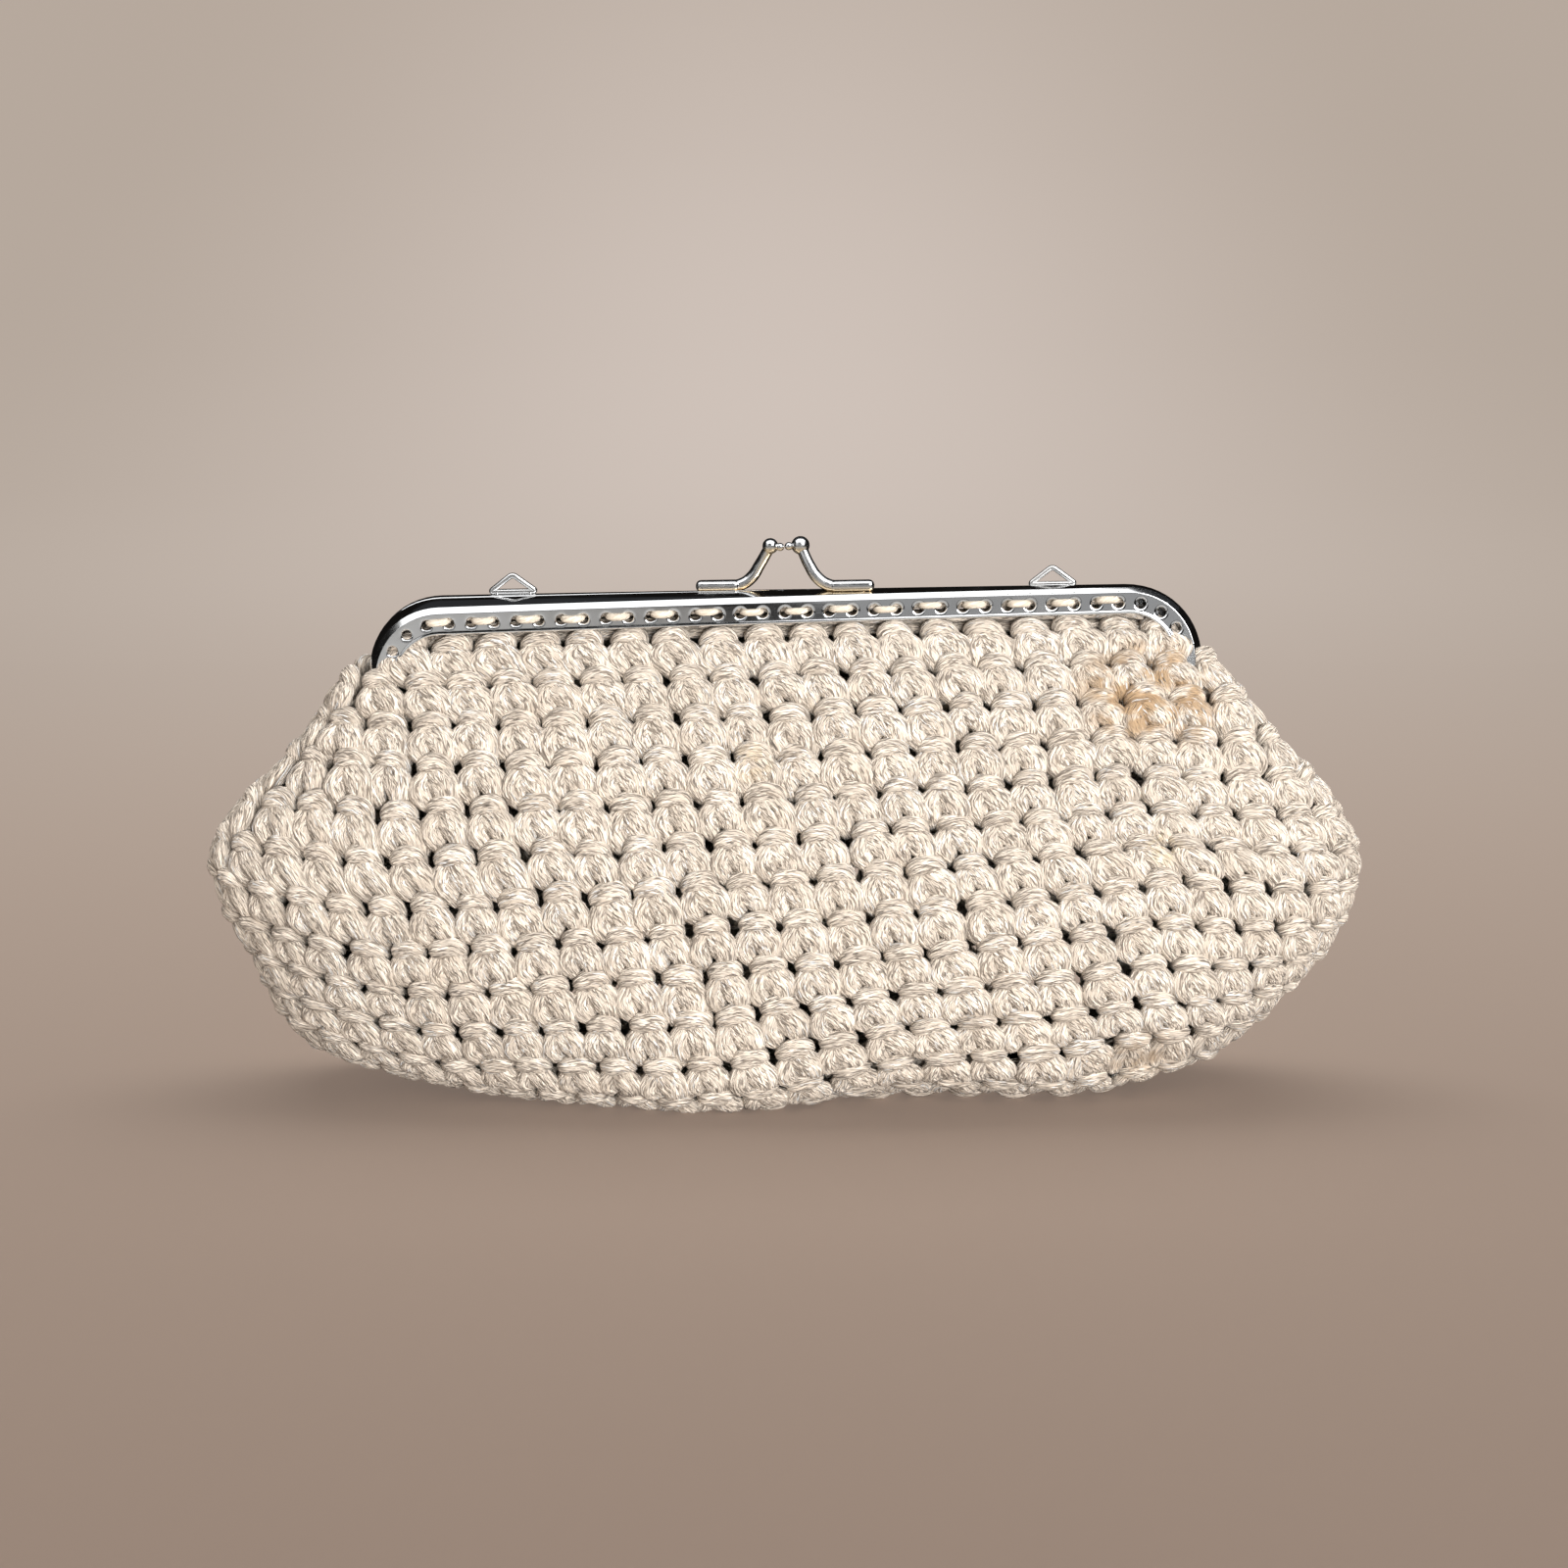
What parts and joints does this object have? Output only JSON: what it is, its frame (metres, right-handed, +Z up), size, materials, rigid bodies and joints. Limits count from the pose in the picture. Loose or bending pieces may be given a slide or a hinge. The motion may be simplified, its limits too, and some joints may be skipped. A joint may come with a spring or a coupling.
{
  "type": "crochet clutch bag",
  "caption": "Hollow crocheted clutch bag hung from a hinged chrome frame, with a kiss lock and wire loops for a chain on the frame's top edge.",
  "frame": {"origin": "centre of the bag's footprint box, on the surface that the soft base rests on", "axes": "+X along the frame to the right of someone facing the front, +Y from front to back, +Z up"},
  "size_m": [0.2803, 0.0679, 0.1345],
  "materials": {
    "crochet_cord": "crocheted cotton cord, oatmeal with fine glints",
    "chrome_steel": "polished chrome plate"
  },
  "bodies": {
    "root": {"crochet_body": "crochet_cord", "frame_front": "chrome_steel", "frame_back": "chrome_steel", "hinge_rivet_left": "chrome_steel", "hinge_rivet_right": "chrome_steel", "clasp_arm_left": "chrome_steel", "clasp_arm_right": "chrome_steel", "chain_loop_left": "chrome_steel", "chain_loop_right": "chrome_steel"}
  },
  "joints": []
}
